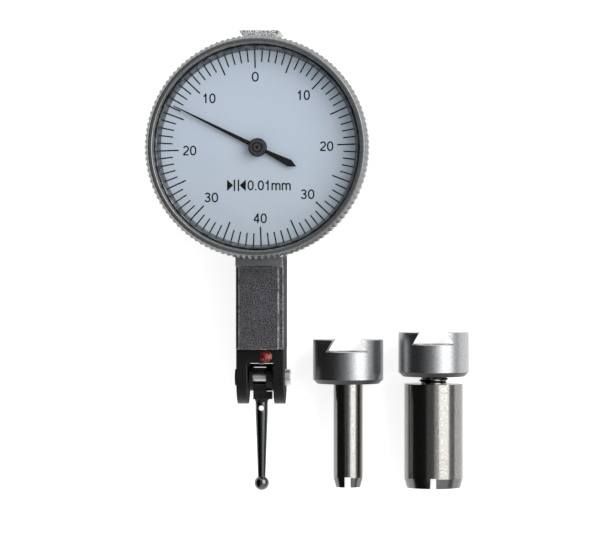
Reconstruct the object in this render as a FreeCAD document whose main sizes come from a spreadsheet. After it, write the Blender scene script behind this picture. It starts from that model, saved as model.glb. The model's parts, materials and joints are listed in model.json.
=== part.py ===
import FreeCAD, Part
import math
import os
import Sketcher
from FreeCAD import Vector

# Dial test indicator, lying on its back with the dial up, and its two dovetail stems.
# Frame: the origin is under the dial's centre, on the plane that the rear dovetail rests on.
# X points to the dial's right, Y to its twelve o'clock and Z out of the dial. Millimetres.

SIZES = {
    # Bezel, crystal and dial
    "bezel_radius": 15.0,
    "bezel_bottom": 10.75,
    "bezel_height": 5.05,
    "bezel_rim_radius": 14.6,
    "knurl_margin": 0.35,
    "knurl_count": 120,
    "knurl_depth": 0.27,
    "knurl_overlap": 1.05,
    "crystal_radius": 13.8,
    "crystal_sink": 0.4,
    "crystal_thickness": 0.8,
    "cone_ledge": 0.2,
    "window_radius": 13.05,
    "lip_height": 1.9,
    "dial_thickness": 0.3,
    "dial_hole_radius": 0.6,
    "collar_radius": 13.3,
    "collar_wall": 0.9,
    "collar_height": 1.4,
    "bezel_clearance": 0.08,
    "ring_recess": 0.3,
    "ring_wire_width": 0.15,
    "ring_wire_height": 0.36,
    "ring_height": 0.7,
    "ring_play": 0.1,
    "ring_sides": 24,
    # Frame: bar, head case, dovetails and fork
    "bar_width": 6.4,
    "bar_depth": 8.2,
    "bar_end": 27.1,
    "case_width": 18.0,
    "case_bottom_end": 14.0,
    "case_floor": 0.7,
    "cavity_width": 11.2,
    "cavity_low_end": 11.6,
    "cavity_high_end": 8.5,
    "case_corner": 7.0,
    "flange_radius": 14.3,
    "flange_thickness": 1.2,
    "flange_top": 10.6,
    "dovetail_width": 5.5,
    "dovetail_height": 1.5,
    "dovetail_flank": 60,
    "dovetail_chamfer": 0.14,
    "top_dovetail_reach": 15.95,
    "front_dovetail_start": 16.1,
    "shelf_end": 15.9,
    "rear_dovetail_end": 10.0,
    "fork_radius": 3.6,
    "fork_slot": 3.6,
    "fork_slot_root": 2.05,
    "channel_width": 3.0,
    "channel_height": 4.2,
    # Lever, stylus and their pivot
    "pivot_y": 31.05,
    "pivot_z": 5.7,
    "screw_shank_radius": 0.7,
    "screw_head_radius": 1.15,
    "screw_slot_width": 0.34,
    "screw_slot_depth": 0.3,
    "left_head_height": 0.4,
    "right_head_height": 0.75,
    "pivot_end_length": 0.4,
    "hub_radius": 1.85,
    "hub_half_width": 1.6,
    "hub_left_gap": 1.1,
    "hub_right_gap": 0.7,
    "hub_gap_root": 1.45,
    "friction_pin_radius": 0.9,
    "jaw_clearance": 0.02,
    "jaw_radius": 1.32,
    "holder_depth": 1.05,
    "holder_right": 1.42,
    "holder_step": 1.95,
    "holder_end": 2.95,
    "holder_nose_length": 0.4,
    "holder_nose_radius": 0.98,
    "shank_radius": 0.83,
    "shank_length": 1.35,
    "spanner_hole_radius": 0.36,
    "spanner_hole_drop": 0.84,
    "neck_radius": 0.52,
    "ball_radius": 1.0,
    "ball_reach": 14.4,
    "ball_seat": 0.8,
    "seal_radius": 0.8,
    "seal_depth": 1.4,
    "seal_layer": 0.28,
    "seal_dome": 0.21,
    "seal_dome_radius": 0.48,
    "seal_x": 0.85,
    "seal_y": 28.1,
    # Movement: lever arm, sector, crown gear and centre pinion
    "lever_multiplier": 4,
    "arm_thickness": 0.6,
    "arm_root_height": 1.6,
    "arm_tip_height": 1.1,
    "arm_tip_taper": 2.0,
    "arm_end_height": 0.66,
    "arm_seat": 0.3,
    "drive_pin_radius": 0.25,
    "drive_pin_overhang": 0.1,
    "fit_clearance": 0.03,
    "tooth_root_part": 0.31,
    "tooth_tip_part": 0.13,
    "tooth_height": 0.9,
    "tooth_depth": 1.25,
    "tooth_anchor": 0.2,
    "sector_module": 0.16,
    "sector_teeth": 9,
    "sector_full_teeth": 108,
    "pinion_teeth": 12,
    "crown_module": 0.14,
    "crown_teeth": 44,
    "center_teeth": 14,
    "sector_left": 0.75,
    "sector_thickness": 0.4,
    "sector_rim": 0.9,
    "sector_hub_radius": 0.9,
    "sector_web_angle": 18,
    "sector_arm_half_width": 0.56,
    "pinion_overhang": 0.2,
    "arbor_radius": 0.3,
    "crown_face_width": 0.8,
    "crown_disc_thickness": 0.5,
    "bracket_gap": 2.6,
    "bracket_wall": 0.6,
    "bracket_bottom": 3.0,
    "bracket_top_end": 4.6,
    "bracket_end_margin": 1.8,
    "bracket_foot": 2.0,
    "bracket_foot_thickness": 0.6,
    "jewel_radius": 0.6,
    "cock_jewel_radius": 0.48,
    "plate_thickness": 0.6,
    "plate_half_width": 8.4,
    "cock_bottom": 7.1,
    "cock_thickness": 0.5,
    "cock_half_width": 0.8,
    "cheese_head_radius": 0.95,
    "cheese_head_height": 0.45,
    "plate_screw_x": 7.0,
    "plate_screw_y": 7.0,
    "bracket_screw_x": 4.2,
    "bracket_screw_y": -3.8,
    "spring_inner_radius": 0.86,
    "spring_pitch": 0.5,
    "spring_half_turns": 5,
    "spring_strip": 0.07,
    "spring_height": 0.3,
    "spring_z": 9.5,
    "collet_radius": 0.72,
    "collet_overhang": 0.05,
    "stud_depth": 0.6,
    "stud_half_width": 0.4,
    "stud_overhang": 0.1,
    # Hand
    "hand_angle": 63.7,
    "hand_z": 13.1,
    "hand_thickness": 0.12,
    "hand_length": 12.6,
    "hand_tail": 5.8,
    "hand_root_width": 0.62,
    "hand_tip_width": 0.12,
    "hand_neck_width": 0.5,
    "hand_tail_width": 1.0,
    "hand_tail_start": 3.2,
    "hand_tail_start_width": 0.76,
    "hand_arrow_start": 4.8,
    "hand_eye_radius": 1.25,
    "hand_hole_radius": 0.69,
    "hub_boss_drop": 0.2,
    "hub_cap_radius": 1.13,
    "hub_cap_height": 0.8,
    # Dovetail stems
    "stem_head_radius": 4.8,
    "stem_head_height": 6.0,
    "stem_head_chamfer": 0.6,
    "stem_groove_depth": 1.65,
    "stem_groove_clearance": 0.1,
    "stem_screw_gap": 0.1,
    "stem_shaft_length": 14.1,
    "thin_stem_radius": 2.0,
    "thick_stem_radius": 4.0,
    "stem_screw_radius": 1.75,
    "stem_chamfer": 1.3,
    "stem_chamfer_inset": 0.33,
    "thin_stem_x": 11.75,
    "thick_stem_x": 23.4,
    "stem_tip_y": 46.0,
    "thick_stem_neck": 1.0,
    "stem_slot_width": 0.8,
    "stem_slot_depth": 1.4,
}

doc = FreeCAD.newDocument("dial_test_indicator")
sheet = doc.addObject("Spreadsheet::Sheet", "Sizes")
for row, (alias, number) in enumerate(SIZES.items(), start=1):
    sheet.set("A%d" % row, alias)
    sheet.set("B%d" % row, str(number))
    sheet.setAlias("B%d" % row, alias)
doc.recompute()


class Size:
    """A number with the sheet expression that gives it, so that sums stay bound to the sheet."""

    def __init__(self, value, formula):
        self.value = value
        self.formula = formula

    def _with(self, sign, other, value):
        return Size(value, "(%s %s %s)" % (self.formula, sign, other.formula))

    def __add__(self, other):
        other = size_of(other)
        return self._with("+", other, self.value + other.value)

    def __sub__(self, other):
        other = size_of(other)
        return self._with("-", other, self.value - other.value)

    def __mul__(self, other):
        other = size_of(other)
        return self._with("*", other, self.value * other.value)

    def __truediv__(self, other):
        other = size_of(other)
        return self._with("/", other, self.value / other.value)

    def __neg__(self):
        return Size(-self.value, "(0 - %s)" % self.formula)

    def __radd__(self, other):
        return size_of(other) + self

    def __rsub__(self, other):
        return size_of(other) - self

    def __rmul__(self, other):
        return size_of(other) * self

    def __rtruediv__(self, other):
        return size_of(other) / self


def size_of(number):
    if isinstance(number, Size):
        return number
    return Size(float(number), "(%r)" % float(number))


def cell(alias):
    return Size(float(sheet.get(alias)), "Sizes.%s" % alias)


def sine(angle):
    return Size(math.sin(math.radians(angle.value)), "sin(%s)" % angle.formula)


def cosine(angle):
    return Size(math.cos(math.radians(angle.value)), "cos(%s)" % angle.formula)


def tangent(angle):
    return Size(math.tan(math.radians(angle.value)), "tan(%s)" % angle.formula)


def bind(thing, prop, amount):
    thing.setExpression(prop, size_of(amount).formula)


def new_body(label, x=0, y=0, z=0):
    body = doc.addObject("PartDesign::Body", label)
    body.Label = label
    body.AllowCompound = True
    for axis, amount in (("x", x), ("y", y), ("z", z)):
        bind(body, "Placement.Base." + axis, amount)
    return body


def origin_feature(body, role):
    return next(item for item in body.Origin.OriginFeatures if item.Role == role)


def sketch_on(body, plane, level=0):
    """A sketch on XY, XZ or YZ of the body, moved to a level along the plane's third axis."""
    sketch = body.newObject("Sketcher::SketchObject", body.Label + "_sketch")
    sketch.AttachmentSupport = [(origin_feature(body, plane + "_Plane"), "")]
    sketch.MapMode = "FlatFace"
    level = size_of(level)
    bind(sketch, "AttachmentOffset.Base.z", -level if plane == "XZ" else level)
    return sketch


def fix_point(sketch, geometry, point, place):
    for kind, amount in zip(("DistanceX", "DistanceY"), place):
        number = sketch.addConstraint(
            Sketcher.Constraint(kind, -1, 1, geometry, point, amount.value))
        sketch.setExpression("Constraints[%d]" % number, amount.formula)


def draw_polygon(sketch, corners):
    places = [(size_of(a), size_of(b)) for a, b in corners]
    first = sketch.GeometryCount
    points = [Vector(a.value, b.value, 0) for a, b in places]
    for start, end in zip(points, points[1:] + points[:1]):
        sketch.addGeometry(Part.LineSegment(start, end))
    for index, place in enumerate(places):
        last = first + (index - 1) % len(places)
        sketch.addConstraint(Sketcher.Constraint("Coincident", last, 2, first + index, 1))
        fix_point(sketch, first + index, 1, place)


def draw_circle(sketch, x, y, radius):
    x, y, radius = size_of(x), size_of(y), size_of(radius)
    circle = Part.Circle(Vector(x.value, y.value, 0), Vector(0, 0, 1), radius.value)
    geometry = sketch.addGeometry(circle)
    fix_point(sketch, geometry, 3, (x, y))
    number = sketch.addConstraint(Sketcher.Constraint("Radius", geometry, radius.value))
    sketch.setExpression("Constraints[%d]" % number, radius.formula)


def box(left, right, low, high):
    return [(left, low), (right, low), (right, high), (left, high)]


def extrude(body, plane, start, end, polygons=(), circles=(), cut=False):
    """Pad, or pocket where cut is set, from one level to a higher one."""
    start, end = size_of(start), size_of(end)
    sketch = sketch_on(body, plane, start)
    for corners in polygons:
        draw_polygon(sketch, corners)
    for x, y, radius in circles:
        draw_circle(sketch, x, y, radius)
    kind = "Pocket" if cut else "Pad"
    feature = body.newObject("PartDesign::" + kind, body.Label + "_" + kind.lower())
    feature.Profile = sketch
    bind(feature, "Length", end - start)
    feature.Reversed = (plane == "XZ") != cut
    body.Tip = feature
    return feature


def revolve(body, plane, axis, corners, cut=False, angle=None):
    """Revolution, or groove where cut is set, about the sketch's H_Axis or V_Axis."""
    sketch = sketch_on(body, plane)
    draw_polygon(sketch, corners)
    kind = "Groove" if cut else "Revolution"
    feature = body.newObject("PartDesign::" + kind, body.Label + "_" + kind.lower())
    feature.Profile = sketch
    feature.ReferenceAxis = (sketch, [axis])
    feature.Angle = 360
    if angle is not None:
        feature.Midplane = True
        bind(feature, "Angle", angle)
    body.Tip = feature
    return feature


def repeat_round(body, axis, feature, count, angle=360):
    pattern = body.newObject("PartDesign::PolarPattern", body.Label + "_pattern")
    pattern.Originals = [feature]
    pattern.Axis = (origin_feature(body, axis + "_Axis"), [""])
    bind(pattern, "Angle", angle)
    bind(pattern, "Occurrences", count)
    body.Tip = pattern
    return pattern


def round_edges(body, feature, radius, keep):
    """Fillet the straight edges of a finished feature that the test keeps."""
    doc.recompute()
    names = ["Edge%d" % (index + 1) for index, edge in enumerate(feature.Shape.Edges)
             if isinstance(edge.Curve, Part.Line) and keep(edge)]
    fillet = body.newObject("PartDesign::Fillet", body.Label + "_fillet")
    fillet.Base = (feature, names)
    bind(fillet, "Radius", radius)
    body.Tip = fillet
    return fillet


def runs_along(axis):
    direction = {"X": Vector(1, 0, 0), "Y": Vector(0, 1, 0), "Z": Vector(0, 0, 1)}[axis]
    return lambda edge: abs(edge.Curve.Direction.dot(direction)) > 0.999


def tooth(root, tip, pitch, angle):
    """Four corners of a straight flanked tooth that points at an angle, root to tip."""
    half_root, half_tip = pitch * cell("tooth_root_part"), pitch * cell("tooth_tip_part")
    along = (cosine(angle), sine(angle))
    corners = []
    for radius, half in ((root, -half_root), (tip, -half_tip), (tip, half_tip), (root, half_root)):
        corners.append((radius * along[0] - half * along[1], radius * along[1] + half * along[0]))
    return corners


# Places that several pieces share

pivot_y = -cell("pivot_y")
pivot_z = cell("pivot_z")
bar_half = cell("bar_width") / 2
bar_back = cell("dovetail_height")
bar_front = bar_back + cell("bar_depth")
bar_end = -cell("bar_end")
slot_half = cell("fork_slot") / 2
bezel_bottom = cell("bezel_bottom")
bezel_top = bezel_bottom + cell("bezel_height")
bezel_bore = cell("collar_radius") + cell("bezel_clearance")
dial_radius = bezel_bore + cell("ring_recess")
crystal_top = bezel_top - cell("crystal_sink")
crystal_bottom = crystal_top - cell("crystal_thickness")
dial_top = bezel_bottom + cell("lip_height")
dial_bottom = dial_top - cell("dial_thickness")
flange_top = cell("flange_top")
ring_low = flange_top + cell("ring_height")
ring_high = ring_low + cell("ring_wire_height")
plate_top = flange_top + cell("plate_thickness")
pi = Size(math.pi, "pi")
sector_radius = cell("sector_module") * cell("sector_full_teeth") / 2
pinion_radius = cell("sector_module") * cell("pinion_teeth") / 2
crown_radius = cell("crown_module") * cell("crown_teeth") / 2
center_radius = cell("crown_module") * cell("center_teeth") / 2
sector_y = -(sector_radius + pinion_radius)
short_arm = (sector_y - pivot_y) / (cell("lever_multiplier") + 1)
drive_pin_y = sector_y - short_arm
sector_right = cell("sector_left") + cell("sector_thickness")
bracket_outer = cell("bracket_gap") + cell("bracket_wall")
case_top_end = cell("top_dovetail_reach") - cell("dovetail_height")
holder_left = -(cell("hub_left_gap") - cell("jaw_clearance"))
holder_jaw_right = cell("hub_right_gap") - cell("jaw_clearance")
holder_nose_end = -(cell("holder_end") + cell("holder_nose_length"))
shank_end = holder_nose_end - cell("shank_length")


def dovetail(root, outer):
    """Corners of a dovetail's section: narrow at its root, wide at its outer face."""
    half = cell("dovetail_width") / 2
    slant = cell("dovetail_height") / tangent(cell("dovetail_flank"))
    edge = cell("dovetail_chamfer")
    inset = edge if outer.value > root.value else -edge
    return [(-half + slant, root), (half - slant, root), (half, outer - inset),
            (half - edge, outer), (-half + edge, outer), (-half, outer - inset)]


def make_body_frame():
    body = new_body("body_frame")
    case_half = cell("case_width") / 2
    case = extrude(body, "XY", bar_back, flange_top,
                   [box(-case_half, case_half, -cell("case_bottom_end"), case_top_end)])
    round_edges(body, case, cell("case_corner"), runs_along("Z"))
    extrude(body, "XY", flange_top - cell("flange_thickness"), flange_top,
            circles=[(0, 0, cell("flange_radius"))])
    extrude(body, "XY", flange_top, flange_top + cell("collar_height"),
            circles=[(0, 0, cell("collar_radius"))])
    extrude(body, "XY", bar_back, bar_front, [box(-bar_half, bar_half, bar_end, 0)])
    extrude(body, "XY", bar_back, flange_top, [box(-bar_half, bar_half, -cell("shelf_end"), 0)])
    extrude(body, "XZ", bar_end, cell("rear_dovetail_end"), [dovetail(bar_back, size_of(0))])
    extrude(body, "XZ", bar_end, -cell("front_dovetail_start"),
            [dovetail(bar_front, bar_front + cell("dovetail_height"))])
    extrude(body, "XY", bar_back, bar_front,
            [dovetail(case_top_end, cell("top_dovetail_reach"))])
    fork = cell("fork_radius")
    extrude(body, "YZ", -bar_half, bar_half,
            [box(pivot_y, bar_end, pivot_z - fork, pivot_z + fork)])
    extrude(body, "YZ", -bar_half, bar_half, circles=[(pivot_y, pivot_z, fork)])
    extrude(body, "XY", 0, bar_front,
            [box(-slot_half, slot_half, pivot_y - fork * 2, pivot_y + cell("fork_slot_root"))],
            cut=True)
    channel = cell("channel_width") / 2
    reach = cell("channel_height") / 2
    extrude(body, "XZ", pivot_y, 0, [box(-channel, channel, pivot_z - reach, pivot_z + reach)],
            cut=True)
    cavity_half = cell("cavity_width") / 2
    extrude(body, "XY", bar_back + cell("case_floor"), flange_top,
            [box(-cavity_half, cavity_half, -cell("cavity_low_end"), cell("cavity_high_end"))],
            cut=True)
    extrude(body, "XY", flange_top, flange_top + cell("collar_height"),
            circles=[(0, 0, cell("collar_radius") - cell("collar_wall"))], cut=True)
    extrude(body, "YZ", -bar_half, bar_half,
            circles=[(pivot_y, pivot_z, cell("screw_shank_radius"))], cut=True)
    seal_floor = pivot_z + fork - cell("seal_depth")
    extrude(body, "XY", seal_floor, pivot_z + fork,
            circles=[(cell("seal_x"), -cell("seal_y"), cell("seal_radius"))], cut=True)
    return body


def make_bezel():
    body = new_body("bezel")
    radius = cell("bezel_radius")
    rim = cell("bezel_rim_radius")
    band_top = bezel_top - cell("knurl_margin")
    ring_seat = ring_low - cell("ring_play")
    revolve(body, "XZ", "V_Axis", [
        (bezel_bore, bezel_bottom), (radius, bezel_bottom),
        (radius, band_top), (rim, band_top), (rim, bezel_top),
        (cell("crystal_radius"), bezel_top), (cell("crystal_radius"), crystal_bottom),
        (cell("crystal_radius") - cell("cone_ledge"), crystal_bottom),
        (cell("window_radius"), dial_top), (dial_radius, dial_top),
        (dial_radius, ring_seat), (bezel_bore, ring_seat)])
    depth = cell("knurl_depth")
    half = radius * tangent(180 / cell("knurl_count")) * cell("knurl_overlap") * 2
    flute = extrude(body, "XY", bezel_bottom, band_top,
                    [[(radius - depth, 0), (radius + depth, -half), (radius + depth, half)]],
                    cut=True)
    repeat_round(body, "Z", flute, cell("knurl_count"))
    return body


def make_crystal():
    body = new_body("crystal")
    extrude(body, "XY", crystal_bottom, crystal_top, circles=[(0, 0, cell("crystal_radius"))])
    return body


def make_dial_plate():
    body = new_body("dial_plate")
    extrude(body, "XY", dial_bottom, dial_top, circles=[(0, 0, dial_radius)])
    extrude(body, "XY", dial_bottom, dial_top, circles=[(0, 0, cell("dial_hole_radius"))], cut=True)
    return body


def make_spring_ring():
    """Wire bent into an open polygon: its flats grip the collar and it holds the bezel down."""
    body = new_body("bezel_spring_ring")
    inner = cell("collar_radius")
    outer = inner + cell("ring_wire_width")
    slope = tangent(180 / cell("ring_sides"))
    side = extrude(body, "XY", ring_low, ring_high, [[
        (inner, -inner * slope), (outer, -outer * slope), (outer, outer * slope),
        (inner, inner * slope)]])
    repeat_round(body, "Z", side, cell("ring_sides") - 1,
                 360 - 720 / cell("ring_sides"))
    return body


def make_pivot_screw(label, side, head_height):
    """Slotted screw through one fork leg, whose plain end carries the lever hub."""
    body = new_body(label, y=pivot_y, z=pivot_z)
    end = slot_half - cell("pivot_end_length")
    shank, head = cell("screw_shank_radius"), cell("screw_head_radius")
    face = bar_half + head_height
    profile = [(end, 0), (end, shank), (bar_half, shank), (bar_half, head), (face, head), (face, 0)]
    revolve(body, "XY", "H_Axis", [(a * side, b) for a, b in profile])
    slot = face - cell("screw_slot_depth")
    low, high = (slot, face) if side > 0 else (-face, -slot)
    half_slot = cell("screw_slot_width") / 2
    extrude(body, "YZ", low, high, [box(-head, head, -half_slot, half_slot)], cut=True)
    return body


def make_sealed_screw():
    body = new_body("sealed_screw")
    floor = pivot_z + cell("fork_radius") - cell("seal_depth")
    top = pivot_z + cell("fork_radius")
    place = (cell("seal_x"), -cell("seal_y"))
    extrude(body, "XY", floor, top - cell("seal_layer"), circles=[place + (cell("seal_radius"),)])
    return body


def make_seal_drop():
    """Domed drop of red lacquer over the screw."""
    body = new_body("lacquer_seal", x=cell("seal_x"), y=-cell("seal_y"),
                    z=pivot_z + cell("fork_radius") - cell("seal_layer"))
    radius, rim = cell("seal_radius"), cell("seal_layer")
    top = rim + cell("seal_dome")
    revolve(body, "XZ", "V_Axis",
            [(0, 0), (radius, 0), (radius, rim), (cell("seal_dome_radius"), top), (0, top)])
    return body


def make_lever_hub():
    """Two round cheeks joined by a bridge; each cheek turns on a pivot screw's end."""
    body = new_body("lever_hub", y=pivot_y, z=pivot_z)
    half = cell("hub_half_width")
    extrude(body, "YZ", -half, half, circles=[(0, 0, cell("hub_radius"))])
    radius = cell("hub_radius")
    extrude(body, "YZ", -cell("hub_left_gap"), cell("hub_right_gap"),
            [box(-radius * 2, cell("hub_gap_root"), -radius * 2, radius * 2)], cut=True)
    extrude(body, "YZ", -half, half,
            circles=[(0, 0, cell("screw_shank_radius") + cell("fit_clearance"))], cut=True)
    return body


def make_friction_pin():
    body = new_body("friction_pin", y=pivot_y, z=pivot_z)
    extrude(body, "YZ", -cell("hub_left_gap"), cell("hub_right_gap"),
            circles=[(0, 0, cell("friction_pin_radius"))])
    return body


def make_lever_arm():
    """Flat arm from the hub's bridge up through the bar, with the drive pin near its tip."""
    body = new_body("lever_arm", z=pivot_z)
    root = pivot_y + cell("hub_gap_root") + cell("arm_seat")
    tip = drive_pin_y + cell("drive_pin_radius") * 2
    taper = tip - cell("arm_tip_taper")
    half_root = cell("arm_root_height") / 2
    half_tip = cell("arm_tip_height") / 2
    half_end = cell("arm_end_height") / 2
    half = cell("arm_thickness") / 2
    extrude(body, "YZ", -half, half,
            [[(root, -half_root), (taper, -half_tip), (tip, -half_end),
              (tip, half_end), (taper, half_tip), (root, half_root)]])
    return body


def make_drive_pin():
    body = new_body("drive_pin", y=drive_pin_y, z=pivot_z)
    extrude(body, "YZ", cell("arm_thickness") / 2, sector_right + cell("drive_pin_overhang"),
            circles=[(0, 0, cell("drive_pin_radius"))])
    return body


def make_stylus_holder():
    """Spring jaws that grip the friction pin from behind, open to the front, and a nose."""
    body = new_body("stylus_holder", y=pivot_y, z=pivot_z)
    bore = cell("friction_pin_radius") + cell("fit_clearance")
    depth = cell("holder_depth")
    extrude(body, "YZ", holder_left, holder_jaw_right, circles=[(0, 0, cell("jaw_radius"))])
    extrude(body, "YZ", holder_left, holder_jaw_right,
            [box(-cell("holder_step"), 0, -depth, depth * 0.85)])
    extrude(body, "YZ", holder_left, holder_jaw_right, circles=[(0, 0, bore)], cut=True)
    extrude(body, "YZ", holder_left, holder_jaw_right,
            [box(-bore, cell("jaw_radius") * 2, bore * 0.17, cell("jaw_radius") * 2)], cut=True)
    extrude(body, "YZ", holder_left, cell("holder_right"),
            [box(-cell("holder_end"), -cell("holder_step"), -depth, depth)])
    start = -cell("holder_end")
    revolve(body, "XY", "V_Axis", [(0, start), (cell("holder_nose_radius"), start),
                                   (cell("shank_radius"), holder_nose_end), (0, holder_nose_end)])
    return body


def make_stylus_shank():
    body = new_body("stylus_shank", y=pivot_y, z=pivot_z)
    thick = cell("shank_radius")
    thin = cell("neck_radius")
    ball = -cell("ball_reach")
    seat = ball + cell("ball_seat")
    revolve(body, "XY", "V_Axis", [
        (0, holder_nose_end), (thick, holder_nose_end), (thick, shank_end),
        (thin, ball + cell("ball_radius")), (thin, seat), (0, seat)])
    extrude(body, "XY", -thick, thick,
            circles=[(0, holder_nose_end - cell("spanner_hole_drop"),
                      cell("spanner_hole_radius"))], cut=True)
    return body


def make_contact_ball():
    """Contact ball with a seat drilled for the shank's end."""
    ball = doc.addObject("Part::Sphere", "ball_sphere")
    bind(ball, "Radius", cell("ball_radius"))
    bore = doc.addObject("Part::Cylinder", "ball_bore")
    bind(bore, "Radius", cell("neck_radius"))
    bind(bore, "Height", cell("ball_radius"))
    bind(bore, "Placement.Base.y", cell("ball_seat"))
    bore.Placement.Rotation = FreeCAD.Rotation(Vector(1, 0, 0), -90)
    cut = doc.addObject("Part::Cut", "contact_ball")
    cut.Label = "contact_ball"
    cut.Base = ball
    cut.Tool = bore
    bind(cut, "Placement.Base.y", pivot_y - cell("ball_reach"))
    bind(cut, "Placement.Base.z", pivot_z)
    return cut


def make_arbor(label, y):
    """Plain arbor across the bracket, whose ends turn in the side jewels."""
    body = new_body(label, y=y, z=pivot_z)
    end = bracket_outer - cell("fit_clearance")
    extrude(body, "YZ", -end, end, circles=[(0, 0, cell("arbor_radius"))])
    return body


def make_sector_gear():
    """Toothed fan on one side of its arbor, slotted arm on the other."""
    body = new_body("sector_gear", y=sector_y, z=pivot_z)
    left, right = cell("sector_left"), sector_right
    module = cell("sector_module")
    root = sector_radius - module * cell("tooth_depth")
    hub = cell("sector_hub_radius")
    pitch_angle = 360 / cell("sector_full_teeth")
    fan = pitch_angle * cell("sector_teeth")
    extrude(body, "YZ", left, right, circles=[(0, 0, hub)])
    revolve(body, "XY", "H_Axis", box(left, right, hub / 2, root), angle=fan)
    revolve(body, "XY", "H_Axis", box(left, right, hub * 2, root - cell("sector_rim")),
            cut=True, angle=cell("sector_web_angle"))
    half_arm = cell("sector_arm_half_width")
    arm_end = -(short_arm + cell("drive_pin_radius") * 2)
    extrude(body, "YZ", left, right, [box(arm_end, 0, -half_arm, half_arm)])
    slot = cell("drive_pin_radius") + cell("fit_clearance")
    extrude(body, "YZ", left, right,
            [box(arm_end, -short_arm + slot * 2, -slot, slot)], cut=True)
    extrude(body, "YZ", left, right, circles=[(0, 0, cell("arbor_radius"))], cut=True)
    first = -pitch_angle * (cell("sector_teeth") - 1) / 2
    shape = tooth(root - module * cell("tooth_anchor"),
                  sector_radius + module * cell("tooth_height"), pi * module, first)
    teeth = extrude(body, "YZ", left, right, [shape])
    repeat_round(body, "X", teeth, cell("sector_teeth"),
                 pitch_angle * (cell("sector_teeth") - 1))
    return body


def make_spur(body, plane, axis, low, high, module, teeth, bore):
    """Small pinion: root disc with its bore, and straight flanked teeth half a pitch off axis."""
    radius = module * teeth / 2
    root = radius - module * cell("tooth_depth")
    extrude(body, plane, low, high, circles=[(0, 0, root), (0, 0, bore)])
    shape = tooth(root - module * cell("tooth_anchor"), radius + module * cell("tooth_height"),
                  pi * module, 180 / teeth)
    repeat_round(body, axis, extrude(body, plane, low, high, [shape]), teeth)
    return body


def make_intermediate_pinion():
    body = new_body("intermediate_pinion", z=pivot_z)
    overhang = cell("pinion_overhang")
    return make_spur(body, "YZ", "X", cell("sector_left") - overhang, sector_right + overhang,
                     cell("sector_module"), cell("pinion_teeth"), cell("arbor_radius"))


def make_crown_gear():
    """Contrate wheel: a thin disc with teeth standing on its face near the rim."""
    body = new_body("crown_gear", z=pivot_z)
    module = cell("crown_module")
    face = -(center_radius + module * cell("tooth_depth"))
    back = face - cell("crown_disc_thickness")
    outer = crown_radius + cell("crown_face_width") / 2
    inner = crown_radius - cell("crown_face_width") / 2
    extrude(body, "YZ", back, face, circles=[(0, 0, outer), (0, 0, cell("arbor_radius"))])
    pitch = pi * module
    tip = -center_radius + module * cell("tooth_height")
    half_root, half_tip = pitch * cell("tooth_root_part"), pitch * cell("tooth_tip_part")
    root = face - module * cell("tooth_anchor")
    edge = cell("fit_clearance")
    teeth = extrude(body, "XZ", inner + edge, outer - edge,
                    [[(root, -half_root), (tip, -half_tip), (tip, half_tip), (root, half_root)]])
    repeat_round(body, "X", teeth, cell("crown_teeth"))
    return body


def make_center_arbor():
    """Upright arbor of the hand, from the cock's jewel up through the dial to the hub."""
    body = new_body("center_arbor")
    low = cell("cock_bottom") + cell("fit_clearance")
    extrude(body, "XY", low, cell("hand_z") - cell("hub_boss_drop"),
            circles=[(0, 0, cell("arbor_radius"))])
    return body


def make_center_pinion():
    body = new_body("center_pinion")
    middle = pivot_z + crown_radius
    half = cell("crown_face_width") / 2
    return make_spur(body, "XY", "Z", middle - half, middle + half,
                     cell("crown_module"), cell("center_teeth"), cell("arbor_radius"))


def make_hand():
    """Tapered needle with a round eye and an arrow shaped tail."""
    body = new_body("hand")
    low = cell("hand_z")
    high = low + cell("hand_thickness")
    eye = cell("hand_eye_radius")
    right = [(cell("hand_tail_width") / 2, -cell("hand_arrow_start")),
             (cell("hand_tail_start_width") / 2, -cell("hand_tail_start")),
             (cell("hand_neck_width") / 2, -eye), (cell("hand_root_width") / 2, size_of(0)),
             (cell("hand_tip_width") / 2, cell("hand_length"))]
    left = [(-x, y) for x, y in reversed(right)]
    extrude(body, "XY", low, high, circles=[(0, 0, eye)])
    extrude(body, "XY", low, high, [[(0, -cell("hand_tail"))] + right + left])
    extrude(body, "XY", low, high, circles=[(0, 0, cell("hand_hole_radius"))], cut=True)
    body.Placement.Rotation = FreeCAD.Rotation(Vector(0, 0, 1), cell("hand_angle").value)
    bind(body, "Placement.Rotation.Angle", cell("hand_angle"))
    return body


def make_hand_hub():
    """Bush that carries the hand: a boss through its eye under a turned cap."""
    body = new_body("hand_hub")
    boss, cap = cell("hand_hole_radius"), cell("hub_cap_radius")
    low = cell("hand_z") - cell("hub_boss_drop")
    seat = cell("hand_z") + cell("hand_thickness")
    top = seat + cell("hub_cap_height")
    revolve(body, "XZ", "V_Axis",
            [(0, low), (boss, low), (boss, seat), (cap, seat), (cap, top), (0, top)])
    return body


def make_collet():
    body = new_body("hairspring_collet")
    over = cell("collet_overhang")
    extrude(body, "XY", cell("spring_z") - over, cell("spring_z") + cell("spring_height") + over,
            circles=[(0, 0, cell("collet_radius")), (0, 0, cell("arbor_radius"))])
    return body


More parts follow.
